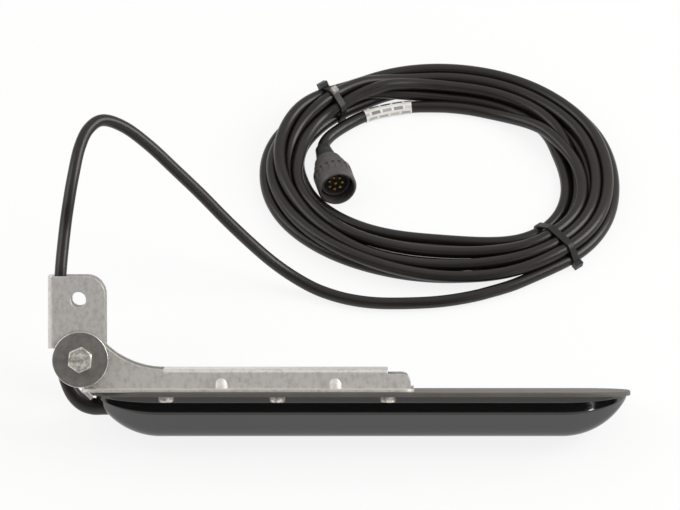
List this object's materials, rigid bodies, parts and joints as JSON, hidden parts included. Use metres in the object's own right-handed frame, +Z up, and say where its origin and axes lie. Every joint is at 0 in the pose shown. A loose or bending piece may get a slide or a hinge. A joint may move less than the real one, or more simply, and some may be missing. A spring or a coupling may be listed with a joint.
{
  "type": "sonar transducer",
  "caption": "Transom-mount sonar transducer: long boat-shaped hull, stainless rail and tilt bracket, lead, coiled cable and round multi-pin connector",
  "frame": {"origin": "bottom centre of the box of the housing and brackets as they lie on a table, without the cable", "axes": "+X runs aft along the hull from the transom bracket, +Y is away from the viewer, +Z is up; the hull lies on its starboard bilge and lid edge"},
  "size_m": [0.2842, 0.2581, 0.0975],
  "materials": {
    "hull_gloss": "gloss",
    "lid_satin": "satin",
    "stainless": "tumbled",
    "bright_steel": "bright",
    "nylon": "satin",
    "cable_jacket": "satin",
    "black_plastic": "satin",
    "seal": "matte",
    "contacts": "bright",
    "label_film": "satin",
    "ceramic": "matte",
    "backing": "matte",
    "sensor": "matte"
  },
  "bodies": {
    "housing": {"hull_shell": "hull_gloss", "lid": "lid_satin", "rail_bracket": "stainless", "port_washer": "stainless", "starboard_washer": "stainless", "pivot_bolt": "bright_steel", "lock_nut": "bright_steel", "port_screw_1": "bright_steel", "port_screw_2": "bright_steel", "port_screw_3": "bright_steel", "starboard_screw_1": "bright_steel", "starboard_screw_2": "bright_steel", "starboard_screw_3": "bright_steel", "port_friction_washer": "nylon", "starboard_friction_washer": "nylon", "nut_insert": "nylon", "cable_lead": "cable_jacket", "cable_coil": "cable_jacket", "cable_tail": "cable_jacket", "cable_gland": "cable_jacket", "connector_boot": "cable_jacket", "connector_body": "black_plastic", "pin_insert": "black_plastic", "left_cable_tie": "black_plastic", "right_cable_tie": "black_plastic", "seal_ring": "seal", "contact_pins": "contacts", "cable_label": "label_film", "port_sidescan_bar": "ceramic", "starboard_sidescan_bar": "ceramic", "downscan_bar": "ceramic", "backing_block": "backing", "temperature_sensor": "sensor"},
    "transom_mount": {"transom_bracket": "stainless"},
    "collar": {"locking_collar": "black_plastic"}
  },
  "joints": [
    {"name": "bracket_tilt", "type": "hinge", "parent": "housing", "child": "transom_mount", "pos_m": [-0.1263, -0.0047, 0.03334], "axis": [0, 0.6897, -0.7241], "range_deg": [-15, 15], "deforming": ["cable_lead"]},
    {"name": "collar_spin", "type": "hinge", "parent": "housing", "child": "collar", "pos_m": [-0.00215, 0.13253, 0.01116], "axis": [0.2017, -0.9489, 0.2425], "continuous": true}
  ]
}
